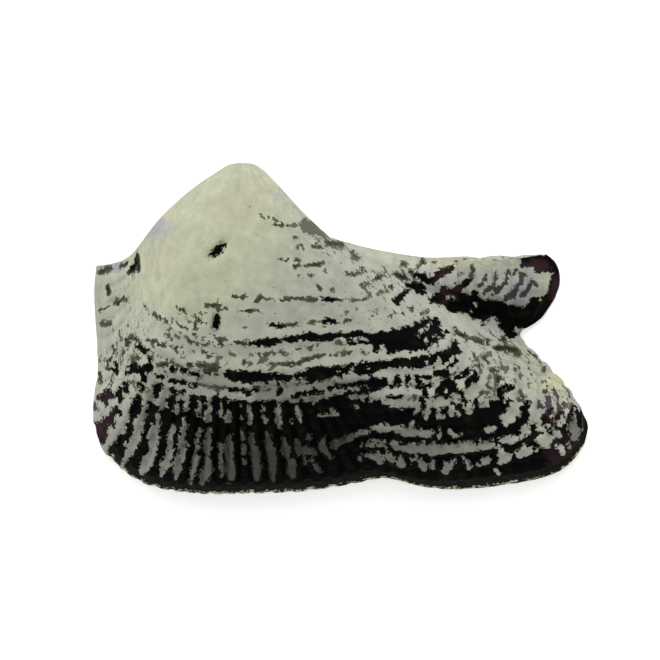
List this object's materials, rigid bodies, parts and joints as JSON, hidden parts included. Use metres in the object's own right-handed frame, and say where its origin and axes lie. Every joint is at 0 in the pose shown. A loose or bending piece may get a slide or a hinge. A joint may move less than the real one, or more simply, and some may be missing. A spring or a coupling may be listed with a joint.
{
  "type": "fossil ark clam shell, loose left valve",
  "caption": "Loose left valve of a fossil ark clam: swollen worn beak, ribbed and ledged outside, winged rear end, hollow inside, flat rim to lie on.",
  "frame": {"origin": "middle of the valve's box on the ground, in the plane that the two valves would meet on", "axes": "+X to the rear of the clam, +Y to the hinge side, +Z out of the outside of the valve; the valve lies on its rim, hollow side down"},
  "size_m": [0.0746, 0.0498, 0.0243],
  "materials": {
    "fossil_shell": "dull pale khaki fossil shell, stained near black in its grooves"
  },
  "bodies": {
    "root": {"left_valve": "fossil_shell"}
  },
  "joints": []
}
